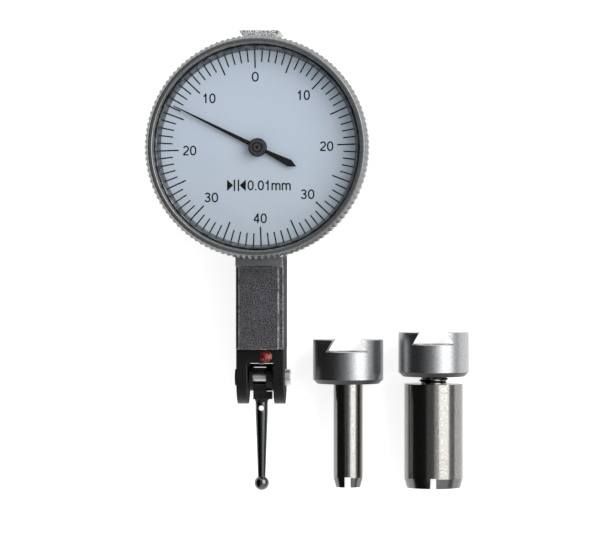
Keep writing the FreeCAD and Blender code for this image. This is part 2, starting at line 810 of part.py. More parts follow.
def make_hairspring():
    """Flat strip wound in half circles, each one pitch wider than the one before."""
    spring = doc.addObject("Part::Feature", "hairspring")
    spring.Label = "hairspring"
    radius = sheet.get("spring_inner_radius")
    step = sheet.get("spring_pitch") / 2
    half_strip = sheet.get("spring_strip") / 2
    turns = int(sheet.get("spring_half_turns"))

    def side(offset):
        arcs = []
        for index in range(turns):
            middle = 0 if index % 2 == 0 else step / 2
            reach = radius + index * step / 2 + offset
            sign = 1 if index % 2 == 0 else -1
            start = Vector(middle + reach * sign, 0, 0)
            top = Vector(middle, reach * sign, 0)
            end = Vector(middle - reach * sign, 0, 0)
            arcs.append(Part.Arc(start, top, end).toShape())
        return arcs

    inner = side(-half_strip)
    outer = side(half_strip)
    first = Part.makeLine(inner[0].Vertexes[0].Point, outer[0].Vertexes[0].Point)
    last = Part.makeLine(inner[-1].Vertexes[-1].Point, outer[-1].Vertexes[-1].Point)
    wire = Part.Wire(Part.__sortEdges__(inner + outer + [first, last]))
    spring.Shape = Part.Face(wire).extrude(Vector(0, 0, sheet.get("spring_height")))
    spring.Placement = FreeCAD.Placement(Vector(0, 0, sheet.get("spring_z")), FreeCAD.Rotation())
    return spring


def make_hairspring_stud():
    """Post under the movement plate that holds the hairspring's outer end."""
    reach = cell("spring_inner_radius") + (cell("spring_half_turns") - 1) * cell("spring_pitch") / 4
    half = cell("stud_half_width")
    body = new_body("hairspring_stud")
    extrude(body, "XY", cell("spring_z") - cell("stud_overhang"), flange_top,
            [box(-reach - cell("stud_depth"), -reach - cell("spring_strip") / 2, -half, half)])
    return body


def make_movement_plate():
    """Plate on the case's ledge that carries the bracket and the centre jewel."""
    body = new_body("movement_plate")
    half = cell("plate_half_width")
    extrude(body, "XY", flange_top, plate_top, [box(-half, half, -half, half)])
    extrude(body, "XY", flange_top, plate_top, circles=[(0, 0, cell("jewel_radius"))], cut=True)
    return body


def make_screw_heads(label, x, turn):
    """Two cheese heads standing on the movement plate; the second lies at turn times y."""
    body = new_body(label)
    radius = cell("cheese_head_radius")
    places = [(-x[0], x[1] * turn, radius), (x[0], x[1], radius)]
    extrude(body, "XY", plate_top, plate_top + cell("cheese_head_height"), circles=places)
    return body


def make_arbor_bracket():
    """Bracket hung from the movement plate: two walls and an end that hold the arbors."""
    body = new_body("arbor_bracket")
    low = cell("bracket_bottom")
    gap = cell("bracket_gap")
    open_end = sector_y - cell("bracket_end_margin")
    top_end = cell("bracket_top_end")
    extrude(body, "XY", low, flange_top, [box(-bracket_outer, bracket_outer, open_end, top_end)])
    foot = bracket_outer + cell("bracket_foot")
    extrude(body, "XY", flange_top - cell("bracket_foot_thickness"), flange_top,
            [box(-foot, foot, sector_y, 0)])
    extrude(body, "XY", low, flange_top,
            [box(-gap, gap, open_end, top_end - cell("bracket_wall"))], cut=True)
    extrude(body, "YZ", -bracket_outer, bracket_outer,
            circles=[(sector_y, pivot_z, cell("arbor_radius") + cell("fit_clearance")),
                     (0, pivot_z, cell("jewel_radius"))], cut=True)
    return body


def make_center_cock():
    """Arm from the bracket's end wall that holds the centre arbor's lower jewel."""
    body = new_body("center_cock")
    low = cell("cock_bottom")
    high = low + cell("cock_thickness")
    half = cell("cock_half_width")
    extrude(body, "XY", low, high,
            [box(-half, half, -half, cell("bracket_top_end") - cell("bracket_wall"))])
    extrude(body, "XY", low, high, circles=[(0, 0, cell("cock_jewel_radius"))], cut=True)
    return body


def make_side_jewels():
    """Two ring jewels of the crown gear's fast arbor, in the bracket's walls."""
    body = new_body("side_jewels")
    bore = cell("arbor_radius") + cell("fit_clearance")
    for low, high in ((-bracket_outer, -cell("bracket_gap")), (cell("bracket_gap"), bracket_outer)):
        extrude(body, "YZ", low, high,
                circles=[(0, pivot_z, cell("jewel_radius")), (0, pivot_z, bore)])
    return body


def make_center_jewels():
    """Two ring jewels of the centre arbor: in the cock and in the movement plate."""
    body = new_body("center_jewels")
    low = cell("cock_bottom")
    bore = cell("arbor_radius") + cell("fit_clearance")
    extrude(body, "XY", low, low + cell("cock_thickness"),
            circles=[(0, 0, cell("cock_jewel_radius")), (0, 0, bore)])
    extrude(body, "XY", flange_top, plate_top,
            circles=[(0, 0, cell("jewel_radius")), (0, 0, bore)])
    return body


def make_stem_head(label, x, neck):
    """Round clamp head lying on its side, with the dovetail groove across its end."""
    radius = cell("stem_head_radius")
    base = cell("stem_shaft_length") + neck - cell("stem_tip_y")
    body = new_body(label, x=x, y=base, z=radius)
    top = cell("stem_head_height")
    chamfer = cell("stem_head_chamfer")
    bore = cell("stem_screw_radius") + cell("fit_clearance")
    revolve(body, "XY", "V_Axis",
            [(bore, 0), (radius - chamfer, 0), (radius, chamfer), (radius, top), (bore, top)])
    floor = top - cell("stem_groove_depth")
    half = cell("dovetail_width") / 2 + cell("stem_groove_clearance")
    slant = (top - floor) / tangent(cell("dovetail_flank"))
    extrude(body, "XY", -radius, radius,
            [[(-half, floor), (half, floor), (half - slant, top), (slant - half, top)]], cut=True)
    return body


def make_stem_shaft(label, x, shaft_radius):
    """Ground shank with a clamp screw at its inner end and a driver slot at its tip."""
    body = new_body(label, x=x, y=-cell("stem_tip_y"), z=cell("stem_head_radius"))
    length = cell("stem_shaft_length")
    screw = cell("stem_screw_radius")
    floor = cell("stem_head_height") - cell("stem_groove_depth")
    screw_end = length + floor - cell("stem_screw_gap")
    revolve(body, "XY", "V_Axis", [
        (0, 0), (shaft_radius - cell("stem_chamfer_inset"), 0),
        (shaft_radius, cell("stem_chamfer")), (shaft_radius, length), (screw, length),
        (screw, screw_end), (0, screw_end)])
    half_slot = cell("stem_slot_width") / 2
    extrude(body, "XY", -shaft_radius, shaft_radius,
            [box(-half_slot, half_slot, 0, cell("stem_slot_depth"))], cut=True)
    return body


def make_all():
    no_neck = size_of(0)
    neck = cell("thick_stem_neck")
    thin_x, thick_x = cell("thin_stem_x"), cell("thick_stem_x")
    return [
        make_body_frame(), make_bezel(), make_crystal(), make_dial_plate(), make_spring_ring(),
        make_pivot_screw("pivot_screw_left", -1, cell("left_head_height")),
        make_pivot_screw("pivot_screw_right", 1, cell("right_head_height")),
        make_sealed_screw(), make_seal_drop(), make_lever_hub(), make_friction_pin(),
        make_lever_arm(), make_drive_pin(), make_stylus_holder(), make_stylus_shank(),
        make_contact_ball(), make_arbor("sector_arbor", sector_y), make_sector_gear(),
        make_arbor("crown_arbor", size_of(0)), make_intermediate_pinion(), make_crown_gear(),
        make_center_arbor(), make_center_pinion(), make_hand(), make_hand_hub(), make_collet(),
        make_hairspring(), make_hairspring_stud(), make_movement_plate(),
        make_screw_heads("plate_screws", (cell("plate_screw_x"), cell("plate_screw_y")), -1),
        make_screw_heads("bracket_screws", (cell("bracket_screw_x"), cell("bracket_screw_y")), 1),
        make_arbor_bracket(), make_center_cock(), make_side_jewels(), make_center_jewels(),
        make_stem_head("stem_4mm_head", thin_x, no_neck),
        make_stem_shaft("stem_4mm_shaft", thin_x, cell("thin_stem_radius")),
        make_stem_head("stem_8mm_head", thick_x, neck),
        make_stem_shaft("stem_8mm_shaft", thick_x, cell("thick_stem_radius")),
    ]


def check_and_write(pieces):
    doc.recompute()
    failed = [item.Label for item in doc.Objects
              if "Invalid" in item.State or "Error" in item.State]
    if failed:
        raise RuntimeError("These objects failed: " + ", ".join(failed))
    for piece in pieces:
        if piece.Shape.isNull() or not piece.Shape.isValid():
            raise RuntimeError(piece.Label + " has no valid shape")
    os.makedirs("parts", exist_ok=True)
    for piece in pieces:
        piece.Shape.exportStep("parts/%s.step" % piece.Label)
        print(piece.Label, len(piece.Shape.Solids), round(piece.Shape.Volume, 3))


check_and_write(make_all())
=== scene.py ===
"""Looks of a dial test indicator and its two dovetail stems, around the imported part."""

import json
import math

import bmesh
import bpy
from mathutils import Matrix, Vector, noise


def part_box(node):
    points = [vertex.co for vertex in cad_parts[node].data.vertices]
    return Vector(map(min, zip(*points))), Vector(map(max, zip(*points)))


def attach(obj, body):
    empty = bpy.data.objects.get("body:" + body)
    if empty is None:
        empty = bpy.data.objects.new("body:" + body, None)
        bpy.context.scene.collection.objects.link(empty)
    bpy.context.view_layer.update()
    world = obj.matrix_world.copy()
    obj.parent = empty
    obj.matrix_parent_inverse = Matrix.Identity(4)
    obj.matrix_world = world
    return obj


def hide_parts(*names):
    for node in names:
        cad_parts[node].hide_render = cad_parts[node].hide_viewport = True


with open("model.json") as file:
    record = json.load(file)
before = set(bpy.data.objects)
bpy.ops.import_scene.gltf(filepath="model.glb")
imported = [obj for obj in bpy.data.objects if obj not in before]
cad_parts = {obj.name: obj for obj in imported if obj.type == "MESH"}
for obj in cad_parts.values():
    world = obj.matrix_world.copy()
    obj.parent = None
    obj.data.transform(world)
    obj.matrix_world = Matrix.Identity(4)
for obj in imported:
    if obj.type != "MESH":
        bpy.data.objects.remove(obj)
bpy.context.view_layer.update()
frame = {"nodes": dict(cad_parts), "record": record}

MM = 0.001
# The print on the dial (millimetres): its underside, its thickness and the width of its strokes
PRINT_Z = 12.66
PRINT_DEPTH = 0.012
INK_WIDTH = 0.185
# The dial's turn against the case, and its divisions
PRINT_TURN = math.radians(1.9)
DIVISIONS = 80
# Light that the floor adds to what sees it, and the world's level on matt surfaces
FLOOR_GLOW = 0.72
AMBIENT = 0.5


def rgba(value):
    """A colour as a socket takes it; a node's output stays as it is."""
    return value if isinstance(value, bpy.types.NodeSocket) else (*value, 1.0)


class Finish:
    """One procedural material: a Principled surface and the nodes that feed it."""

    def __init__(self, name, metallic=0.0, roughness=0.5):
        self.material = bpy.data.materials.new(name)
        self.material.use_nodes = True
        self.tree = self.material.node_tree
        self.surface = self.tree.nodes["Principled BSDF"]
        self.surface.inputs["Metallic"].default_value = metallic
        self.surface.inputs["Roughness"].default_value = roughness
        self.place = self.add("ShaderNodeTexCoord").outputs["Object"]
        self.rounded = None

    def add(self, kind, **settings):
        node = self.tree.nodes.new(kind)
        for name, value in settings.items():
            setattr(node, name, value)
        return node

    def plug(self, value, socket):
        if isinstance(value, bpy.types.NodeSocket):
            self.tree.links.new(value, socket)
        else:
            socket.default_value = value

    def math(self, operation, first, second=0.0, clamp=False):
        node = self.add("ShaderNodeMath", operation=operation, use_clamp=clamp)
        self.plug(first, node.inputs[0])
        self.plug(second, node.inputs[1])
        return node.outputs[0]

    def axis(self, name):
        if not hasattr(self, "parts"):
            self.parts = self.add("ShaderNodeSeparateXYZ")
            self.plug(self.place, self.parts.inputs[0])
        return self.parts.outputs[name]

    def from_axis(self):
        """Distance from the dial's upright axis."""
        across, along = self.axis("X"), self.axis("Y")
        squares = self.math("ADD", self.math("MULTIPLY", across, across),
                            self.math("MULTIPLY", along, along))
        return self.math("SQRT", squares)

    def noise(self, size, detail=2.0, stretch=(1, 1, 1), rough=0.5, place=None):
        """Noise whose blotches measure about size millimetres."""
        mapping = self.add("ShaderNodeMapping")
        self.plug(place or self.place, mapping.inputs["Vector"])
        mapping.inputs["Scale"].default_value = [part / (size * MM) for part in stretch]
        node = self.add("ShaderNodeTexNoise")
        self.plug(mapping.outputs[0], node.inputs["Vector"])
        node.inputs["Scale"].default_value = 1.0
        node.inputs["Detail"].default_value = detail
        node.inputs["Roughness"].default_value = rough
        return node.outputs["Fac"]

    def turned(self, size):
        """Noise along the radius only: the rings that a lathe tool leaves."""
        place = self.add("ShaderNodeCombineXYZ")
        self.plug(self.from_axis(), place.inputs[0])
        self.plug(self.axis("Z"), place.inputs[2])
        return self.noise(size, 3.0, place=place.outputs[0])

    def remap(self, value, low, high, to_low=0.0, to_high=1.0, smooth=False):
        node = self.add("ShaderNodeMapRange", clamp=True)
        node.interpolation_type = "SMOOTHSTEP" if smooth else "LINEAR"
        for socket, item in zip(node.inputs, (value, low, high, to_low, to_high)):
            self.plug(item, socket)
        return node.outputs[0]

    def past(self, value, place, blur):
        """Mask of where value is over place, soft over blur on each side (millimetres)."""
        return self.remap(value, (place - blur) * MM, (place + blur) * MM)

    def short_of(self, value, place, blur):
        """Mask of where value is under place, soft over blur on each side (millimetres)."""
        return self.remap(value, (place + blur) * MM, (place - blur) * MM)

    def mix(self, factor, first, second):
        """Colour between first and second; a mix node keeps its colours at sockets 6, 7 and 2."""
        node = self.add("ShaderNodeMix", data_type="RGBA")
        self.plug(factor, node.inputs["Factor"])
        self.plug(rgba(first), node.inputs[6])
        self.plug(rgba(second), node.inputs[7])
        return node.outputs[2]

    def facing(self, direction, low, high):
        """Mask of the surfaces that face a fixed direction of the object."""
        node = self.add("ShaderNodeVectorMath", operation="DOT_PRODUCT")
        self.plug(self.add("ShaderNodeTexCoord").outputs["Normal"], node.inputs[0])
        node.inputs[1].default_value = direction
        return self.remap(node.outputs["Value"], low, high)

    def edge(self, radius):
        """Rounds the edges seen by the light, by radius millimetres."""
        node = self.add("ShaderNodeBevel", samples=6)
        node.inputs["Radius"].default_value = radius * MM
        self.rounded = node.outputs[0]
        self.plug(self.rounded, self.surface.inputs["Normal"])

    def wear(self, sharp):
        """Mask that is 1 on the edges and 0 on the flats."""
        flat = self.add("ShaderNodeNewGeometry").outputs["Normal"]
        node = self.add("ShaderNodeVectorMath", operation="DOT_PRODUCT")
        self.plug(self.rounded, node.inputs[0])
        self.plug(flat, node.inputs[1])
        return self.remap(node.outputs["Value"], 1.0 - sharp, 1.0, 1.0, 0.0)

    def bump(self, height, depth, strength):
        """Relief of depth millimetres, on top of any bump before it."""
        node = self.add("ShaderNodeBump")
        node.inputs["Strength"].default_value = strength
        node.inputs["Distance"].default_value = depth * MM
        self.plug(height, node.inputs["Height"])
        if self.rounded:
            self.plug(self.rounded, node.inputs["Normal"])
        self.rounded = node.outputs[0]
        self.plug(self.rounded, self.surface.inputs["Normal"])

    def color(self, value):
        self.plug(rgba(value), self.surface.inputs["Base Color"])

    def set(self, name, value):
        self.plug(value, self.surface.inputs[name])


def satin_body():
    """Satin case: wrinkled dark finish, black past the shoulder, bright edges (wear, and a painted
    highlight), bright top, painted shade on the bar's sides.
    """
    finish = Finish("satin_body", 0.7)
    finish.edge(0.13)
    # Bright edge colour: wear, and also a painted highlight for the light that the slab's chamfers
    # catch.
    worn = finish.math("MULTIPLY", finish.wear(0.07),
                       finish.remap(finish.noise(0.7, 4.0), 0.32, 0.6), clamp=True)
    grain = finish.noise(0.165, 4.0, rough=0.75)
    cloud = finish.noise(2.5, 3.0)
    tone = finish.mix(finish.remap(grain, 0.41, 0.62), (0.006, 0.006, 0.008), (0.19, 0.191, 0.21))
    tone = finish.mix(finish.math("MULTIPLY", finish.remap(cloud, 0.35, 0.65), 0.35), tone,
                      (0.05, 0.05, 0.056))
    along = finish.axis("Y")
    shelf = finish.math("MULTIPLY", finish.past(along, -16.1, 0.05),
                        finish.short_of(along, 10.5, 0.5))
    tone = finish.mix(shelf, tone, finish.mix(grain, (0.12, 0.13, 0.14), (0.28, 0.295, 0.31)))
    crown = finish.past(along, 13.8, 0.4)
    silver = finish.mix(finish.remap(grain, 0.44, 0.56), (0.04, 0.042, 0.045), (0.9, 0.92, 0.93))
    tone = finish.mix(crown, tone, silver)
    # Painted shade: the bar's two side faces, below y = -14 mm, are made near black, rough and less
    # metallic.
    bar = finish.short_of(along, -14.0, 1.0)
    sides = finish.math("ADD", finish.facing((1, 0, 0), 0.5, 0.9),
                        finish.facing((-1, 0, 0), 0.5, 0.9))
    side_shade = finish.math("MULTIPLY", bar, sides)
    tone = finish.mix(side_shade, tone, finish.mix(grain, (0.012, 0.012, 0.013), (0.05, 0.05, 0.053)))
    # Past y = -27.12 mm the fork is coloured near black, with dark grey edges.
    fork = finish.short_of(along, -27.12, 0.04)
    oxide = finish.mix(finish.noise(0.3, 3.0), (0.005, 0.005, 0.006), (0.012, 0.012, 0.014))
    tone = finish.mix(fork, tone, oxide)
    edge = finish.mix(fork, (0.85, 0.86, 0.88), (0.07, 0.07, 0.075))
    finish.color(finish.mix(worn, tone, edge))
    rough = finish.remap(grain, 0.3, 0.7, 0.38, 0.5)
    finish.set("Roughness", finish.math("MAXIMUM", rough, finish.math("MULTIPLY", side_shade, 0.95)))
    finish.set("Metallic", finish.remap(side_shade, 0.0, 1.0, 0.7, 0.1))
    finish.bump(grain, 0.05, 0.9)
    finish.bump(cloud, 0.02, 0.25)
    return finish.material


def bezel_steel():
    """Matt chromed ring: lathe rings on its face and cone, a cone painted lighter than the face,
    darker flute floors, worn crests, and a painted shadow at the crystal's edge.
    """
    finish = Finish("bezel_steel", 0.9)
    finish.edge(0.06)
    rings = finish.turned(0.05)
    radius = finish.from_axis()
    grain = finish.noise(0.08, 2.0)
    tone = finish.mix(finish.remap(rings, 0.3, 0.7), (0.15, 0.154, 0.156), (0.25, 0.255, 0.256))
    # Painted light: inside 13.83 mm the cone and the seat are coloured far lighter than the face,
    # standing in for the light they reflect.
    window = finish.short_of(radius, 13.83, 0.03)
    tone = finish.mix(window, tone, finish.mix(rings, (0.5, 0.51, 0.52), (0.72, 0.73, 0.75)))
    worn = finish.math("MULTIPLY", finish.wear(0.1),
                       finish.remap(finish.noise(0.4, 3.0), 0.35, 0.6), clamp=True)
    tone = finish.mix(worn, tone, (0.62, 0.63, 0.64))
    # Darker, blotched colour in the flute floors below z = 15 mm.
    flutes = finish.short_of(radius, 14.865, 0.085)
    skirt = finish.short_of(finish.axis("Z"), 15.0, 0.1)
    flute_dark = finish.math("MULTIPLY", flutes, skirt)
    flute_dark = finish.math("MULTIPLY", flute_dark, finish.remap(finish.noise(0.9, 3.0), 0.2, 0.6, 0.5, 1.0))
    tone = finish.mix(flute_dark, tone, (0.06, 0.06, 0.062))
    # Painted shadow: a near-black ring from 13.575 to 13.735 mm, in the gap at the crystal's edge.
    gap_shadow = finish.math("MULTIPLY", finish.past(radius, 13.575, 0.015),
                       finish.short_of(radius, 13.735, 0.015))
    finish.color(finish.mix(gap_shadow, tone, (0.03, 0.03, 0.032)))
    finish.set("Roughness", finish.remap(grain, 0.3, 0.7, 0.24, 0.36))
    finish.bump(rings, 0.004, 0.5)
    finish.bump(grain, 0.003, 0.4)
    return finish.material


def clear_crystal():
    """Clear acrylic disc with a few hairline scratches."""
    finish = Finish("clear_crystal", 0.0, 0.04)
    scratches = finish.noise(0.4, 2.0, (1, 0.02, 1))
    finish.color(finish.mix(finish.remap(scratches, 0.6, 0.8), (0.05, 0.06, 0.065),
                            (0.3, 0.32, 0.33)))
    finish.set("Alpha", 0.05)
    finish.set("Roughness", finish.remap(scratches, 0.55, 0.8, 0.03, 0.25))
    finish.set("IOR", 1.49)
    finish.bump(scratches, 0.001, 0.2)
    return finish.material


def dial_white():
    """Silvery white enamel with a faint cool tint, and painted shade that darkens it towards 6
    o'clock.
    """
    finish = Finish("dial_white", 0.0, 0.5)
    speck = finish.noise(0.12, 2.0)
    cloud = finish.noise(6.0, 2.0)
    # Painted shade: the dial is darker towards 6 o'clock and lighter towards 12.
    tone = finish.mix(finish.remap(finish.axis("Y"), -13 * MM, 6 * MM, smooth=True),
                      (0.56, 0.65, 0.75), (0.63, 0.735, 0.865))
    tone = finish.mix(finish.math("MULTIPLY", finish.remap(cloud, 0.4, 0.6), 0.2), tone,
                      (0.67, 0.77, 0.89))
    tone = finish.mix(finish.math("MULTIPLY", finish.remap(speck, 0.6, 0.75), 0.2), tone,
                      (0.75, 0.8, 0.84))
    finish.color(tone)
    finish.bump(speck, 0.002, 0.3)
    return finish.material


def print_black():
    """Matt black ink, a little blotched."""
    finish = Finish("print_black", 0.0, 0.45)
    blot = finish.noise(0.07, 2.0)
    finish.color(finish.mix(blot, (0.004, 0.004, 0.005), (0.0072, 0.0072, 0.009)))
    finish.set("Specular IOR Level", 0.08)
    finish.bump(blot, 0.002, 0.3)
    return finish.material


def black_steel():
    """Black oxide steel: nearly black, a little blue, greyer on its rubbed edges."""
    finish = Finish("black_steel", 0.6)
    finish.edge(0.07)
    worn = finish.math("MULTIPLY", finish.wear(0.05), finish.noise(0.3, 3.0))
    blotch = finish.noise(0.5, 4.0)
    tone = finish.mix(blotch, (0.008, 0.008, 0.01), (0.022, 0.021, 0.024))
    finish.color(finish.mix(worn, tone, (0.12, 0.12, 0.125)))
    finish.set("Roughness", finish.remap(blotch, 0.3, 0.7, 0.32, 0.5))
    finish.bump(finish.noise(0.05, 2.0), 0.004, 0.4)
    return finish.material


def ground_steel(name, low, high, rough, lines, edge=0.05, pits=0.5, underside_shade=0.0):
    """Steel with fine grinding lines, small pits and soft edges; underside_shade paints shade on
    what faces -Y.
    """
    finish = Finish(name, 1.0)
    finish.edge(edge)
    line = finish.noise(0.05, 3.0, lines)
    speck = finish.noise(0.14, 2.0)
    tone = finish.mix(finish.remap(speck, 0.3, 0.7), low, high)
    if underside_shade:
        # Painted shade on what faces -Y, such as the undersides of the stems' heads.
        painted_shade = finish.math("MULTIPLY", finish.facing((0, -1, 0), 0.12, 0.4), underside_shade)
        tone = finish.mix(painted_shade, tone, finish.mix(speck, (0.02, 0.02, 0.021), (0.045, 0.045, 0.046)))
    finish.color(tone)
    finish.set("Roughness", finish.remap(line, 0.3, 0.7, *rough))
    finish.bump(line, 0.0015, 0.5)
    finish.bump(speck, 0.003, pits)
    return finish.material


def hub_dark():
    """Dark turned bush with rings and a centre mark."""
    finish = Finish("hub_dark", 0.7)
    finish.edge(0.16)
    rings = finish.turned(0.09)
    radius = finish.from_axis()
    # A near-black centre dot and a near-black ring from 0.53 to 0.71 mm, set in the colour.
    dot = finish.short_of(radius, 0.24, 0.04)
    dark_ring = finish.math("MULTIPLY", finish.past(radius, 0.53, 0.03),
                         finish.short_of(radius, 0.71, 0.03))
    dark = finish.math("MAXIMUM", dot, dark_ring)
    tone = finish.mix(finish.remap(rings, 0.35, 0.65), (0.03, 0.029, 0.029), (0.13, 0.122, 0.12))
    finish.color(finish.mix(dark, tone, (0.003, 0.003, 0.003)))
    finish.set("Roughness", finish.remap(rings, 0.3, 0.7, 0.3, 0.45))
    finish.bump(rings, 0.012, 0.7)
    return finish.material


def hand_black():
    """Black lacquered hand."""
    finish = Finish("hand_black", 0.0, 0.4)
    finish.edge(0.03)
    speck = finish.noise(0.06, 2.0)
    finish.color(finish.mix(speck, (0.004, 0.004, 0.006), (0.011, 0.011, 0.015)))
    finish.set("Specular IOR Level", 0.15)
    finish.bump(speck, 0.002, 0.4)
    return finish.material


def gear_brass():
    """Machined brass, a little tarnished."""
    finish = Finish("gear_brass", 1.0)
    finish.edge(0.03)
    tarnish = finish.noise(0.8, 4.0)
    line = finish.noise(0.04, 3.0, (0.1, 1, 1))
    finish.color(finish.mix(finish.remap(tarnish, 0.35, 0.7), (0.75, 0.55, 0.26),
                            (0.48, 0.32, 0.14)))
    finish.set("Roughness", finish.remap(tarnish, 0.3, 0.7, 0.24, 0.42))
    finish.bump(line, 0.002, 0.5)
    return finish.material


def ruby():
    """Polished synthetic ruby of the jewels."""
    finish = Finish("ruby", 0.0, 0.08)
    cloud = finish.noise(0.4, 2.0)
    finish.color(finish.mix(cloud, (0.55, 0.01, 0.05), (0.75, 0.04, 0.12)))
    finish.set("Coat Weight", 0.6)
    finish.bump(cloud, 0.002, 0.2)
    return finish.material


def red_lacquer():
    """Thick red sealing lacquer, dried wrinkled and glossy."""
    finish = Finish("red_lacquer", 0.0, 0.16)
    depth = finish.noise(0.45, 3.0)
    tone = finish.mix(finish.remap(depth, 0.35, 0.65), (0.07, 0.006, 0.006), (0.5, 0.028, 0.016))
    streak = finish.remap(finish.noise(0.3, 2.0, (1, 0.4, 1)), 0.62, 0.72)
    finish.color(finish.mix(streak, tone, (0.5, 0.16, 0.03)))
    finish.set("Coat Weight", 0.8)
    finish.bump(finish.noise(0.25, 2.0), 0.03, 0.5)
    return finish.material


def floor_white():
    """Pale paper that looks white to the camera and in the metal, and keeps the shadow."""
    finish = Finish("floor_white", 0.0, 0.9)
    fibre = finish.noise(0.8, 3.0)
    finish.color(finish.mix(fibre, (0.8, 0.8, 0.8), (0.84, 0.84, 0.84)))
    finish.set("Specular IOR Level", 0.0)
    light = finish.add("ShaderNodeLightPath")
    seen = finish.math("MAXIMUM", light.outputs["Is Camera Ray"], light.outputs["Is Glossy Ray"])
    seen = finish.math("MAXIMUM", seen, light.outputs["Is Transmission Ray"])
    glow = finish.add("ShaderNodeEmission")
    finish.plug(finish.math("MULTIPLY", seen, FLOOR_GLOW), glow.inputs["Strength"])
    total = finish.add("ShaderNodeAddShader")
    finish.plug(finish.surface.outputs[0], total.inputs[0])
    finish.plug(glow.outputs[0], total.inputs[1])
    finish.plug(total.outputs[0], finish.tree.nodes["Material Output"].inputs["Surface"])
    return finish.material


finishes = {
    "satin_body": satin_body(),
    "bezel_steel": bezel_steel(),
    "clear_crystal": clear_crystal(),
    "dial_white": dial_white(),
    "spring_steel": ground_steel("spring_steel", (0.34, 0.35, 0.37), (0.5, 0.51, 0.53),
                                 (0.22, 0.34), (0.2, 1, 0.2)),
    "black_steel": black_steel(),
    "bright_steel": ground_steel("bright_steel", (0.55, 0.55, 0.54), (0.9, 0.9, 0.89),
                                 (0.26, 0.42), (0.15, 1, 1), 0.07, 1.0),
    "red_lacquer": red_lacquer(),
    "dark_polished_steel": ground_steel("dark_polished_steel", (0.04, 0.042, 0.045),
                                        (0.09, 0.092, 0.096), (0.12, 0.24), (0.2, 1, 0.2), 0.1),
    "carbide": ground_steel("carbide", (0.09, 0.092, 0.095), (0.17, 0.173, 0.178), (0.1, 0.18),
                            (0.5, 1, 0.5), 0.02),
    "gear_brass": gear_brass(),
    "hand_black": hand_black(),
    "hub_dark": hub_dark(),
    "ruby": ruby(),
    "stem_satin": ground_steel("stem_satin", (0.26, 0.268, 0.28), (0.46, 0.468, 0.48), (0.3, 0.42),
                               (0.3, 1, 0.3), 0.09, 0.8, 0.9),
    "stem_polished": ground_steel("stem_polished", (0.16, 0.157, 0.15), (0.3, 0.296, 0.287),
                                  (0.12, 0.26), (0.08, 1, 0.08), 0.08, 0.5, 0.8),
}


def dress_nodes():
    """Gives every CAD node the finish of its own material slot."""
    for sub_part in frame["record"]["subparts"]:
        node = frame["nodes"][sub_part["node"]]
        for slot in node.material_slots:
            slot.material = finishes[sub_part["material_slot"]]


def place_object(name, data):
    """New object of the scene that holds a mesh, a lamp or a camera."""
    thing = bpy.data.objects.new(name, data)
    bpy.context.scene.collection.objects.link(thing)
    return thing


def mesh_piece(name, build, finish, body):
    """Piece of the object from a closed mesh built here, which rides a body."""
    bmesh.ops.recalc_face_normals(build, faces=build.faces)
    mesh = bpy.data.meshes.new(name)
    build.to_mesh(mesh)
    build.free()
    mesh.materials.append(finish)
    piece = place_object(name, mesh)
    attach(piece, body)
    return piece


def join_rings(build, first, second):
    """Faces between two rings of as many corners."""
    for i in range(len(first)):
        j = (i + 1) % len(first)
        build.faces.new((first[i], first[j], second[j], second[i]))


def close_ends(build, first, last):
    """Faces over the two open ends of a row of rings."""
    build.faces.new(first)
    build.faces.new(list(reversed(last)))


def add_prism(build, points):
    """Flat piece of print: a polygon (millimetres) with a very small thickness."""
    lower, upper = [[build.verts.new((x * MM, y * MM, height * MM)) for x, y in points]
                    for height in (PRINT_Z, PRINT_Z + PRINT_DEPTH)]
    join_rings(build, lower, upper)
    close_ends(build, upper, lower)


def turned_point(x, y, angle):
    """The point x, y turned about the dial's axis."""
    return (x * math.cos(angle) - y * math.sin(angle), x * math.sin(angle) + y * math.cos(angle))


def arc(x, y, across, along, start, end, steps, power=2.0):
    """Points of an oval's arc, in fractions of a digit's height; power above 2 squares it."""
    points = []
    for step in range(steps + 1):
        angle = math.radians(start + (end - start) * step / steps)
        c, s = math.cos(angle), math.sin(angle)
        points.append((x + across * math.copysign(abs(c) ** (2 / power), c),
                       y + along * math.copysign(abs(s) ** (2 / power), s)))
    return points


# Each sign's advance and its strokes, in fractions of its height
STROKES = {
    "0": (0.78, [arc(0.39, 0.5, 0.275, 0.435, 0, 360, 28, 2.25)]),
    "1": (0.78, [[(0.16, 0.715), (0.29, 0.745), (0.38, 0.81), (0.425, 0.93), (0.43, 1.0)],
                 [(0.43, 0.93), (0.43, 0.0)]]),
    "2": (0.78, [arc(0.38, 0.69, 0.255, 0.245, 165, -38, 16)
                 + [(0.42, 0.38), (0.25, 0.26), (0.14, 0.13), (0.115, 0.062)],
                 [(0.08, 0.065), (0.66, 0.065)]]),
    "3": (0.78, [arc(0.375, 0.735, 0.225, 0.2, 160, -80, 16) + [(0.33, 0.535)],
                 [(0.33, 0.535)] + arc(0.375, 0.29, 0.255, 0.225, 85, -165, 18)]),
    "4": (0.78, [[(0.52, 0.0), (0.52, 1.0)], [(0.5, 0.92), (0.1, 0.33)],
                 [(0.05, 0.29), (0.68, 0.29)]]),
    ".": (0.39, [[(0.195, 0.0), (0.195, 0.14)]]),
    "m": (1.17, [[(0.13, 0.0), (0.13, 0.74)],
                 arc(0.35, 0.5, 0.22, 0.175, 180, 0, 12) + [(0.57, 0.0)],
                 arc(0.79, 0.5, 0.22, 0.175, 180, 0, 12) + [(1.01, 0.0)]]),
}
SAME_POINT = 1e-6


